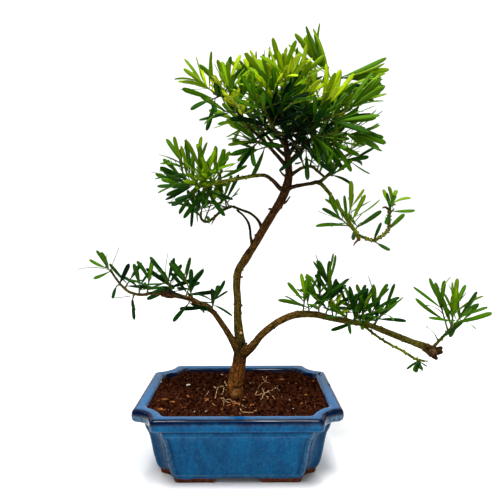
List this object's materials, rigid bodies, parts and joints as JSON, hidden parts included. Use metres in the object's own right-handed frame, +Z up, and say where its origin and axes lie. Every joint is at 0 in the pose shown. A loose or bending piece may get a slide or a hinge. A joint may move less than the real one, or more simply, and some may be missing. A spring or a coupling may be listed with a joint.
{
  "type": "podocarpus bonsai in a glazed pot",
  "caption": "Small podocarpus bonsai: a leaning trunk with arching boughs and open sprays of narrow leaves, in a soil-filled rectangular glazed pot with hollowed corners and four corner feet.",
  "frame": {"origin": "middle of the whole plant's box, on the ground that the pot's feet stand on", "axes": "+Z up; X along the pot's long side and the plant's spread; +Y towards the back of the pot"},
  "size_m": [0.4206, 0.1656, 0.4519],
  "materials": {
    "glaze": "gloss",
    "soil": "matte",
    "bark": "matte",
    "leaves": "satin"
  },
  "bodies": {
    "root": {"pot": "glaze", "soil": "soil", "trunk": "bark", "lower_left_bough": "bark", "lower_right_rise": "bark", "lower_right_outer": "bark", "mid_left_bough": "bark", "thin_upper_bough": "bark", "thin_lower_bough": "bark", "mid_right_bough": "bark", "drooping_bough": "bark", "crown_left_bough": "bark", "crown_right_bough": "bark", "crown_center_bough": "bark", "crown_low_bough": "bark", "foliage_lower_left": "leaves", "foliage_mid_left": "leaves", "foliage_mid_left_lower": "leaves", "foliage_lower_right_inner": "leaves", "foliage_lower_right_tip": "leaves", "foliage_hanging_twig": "leaves", "foliage_drooping_spray": "leaves", "foliage_loop": "leaves", "foliage_right_under": "leaves", "foliage_link": "leaves", "foliage_crown_left": "leaves", "foliage_crown_far_left": "leaves", "foliage_crown_center": "leaves", "foliage_crown_right": "leaves", "foliage_crown_right_low": "leaves", "foliage_crown_right_mid": "leaves", "foliage_crown_front": "leaves", "foliage_crown_top_left": "leaves", "foliage_crown_back": "leaves", "foliage_crown_back_left": "leaves", "foliage_crown_back_right": "leaves"}
  },
  "joints": []
}
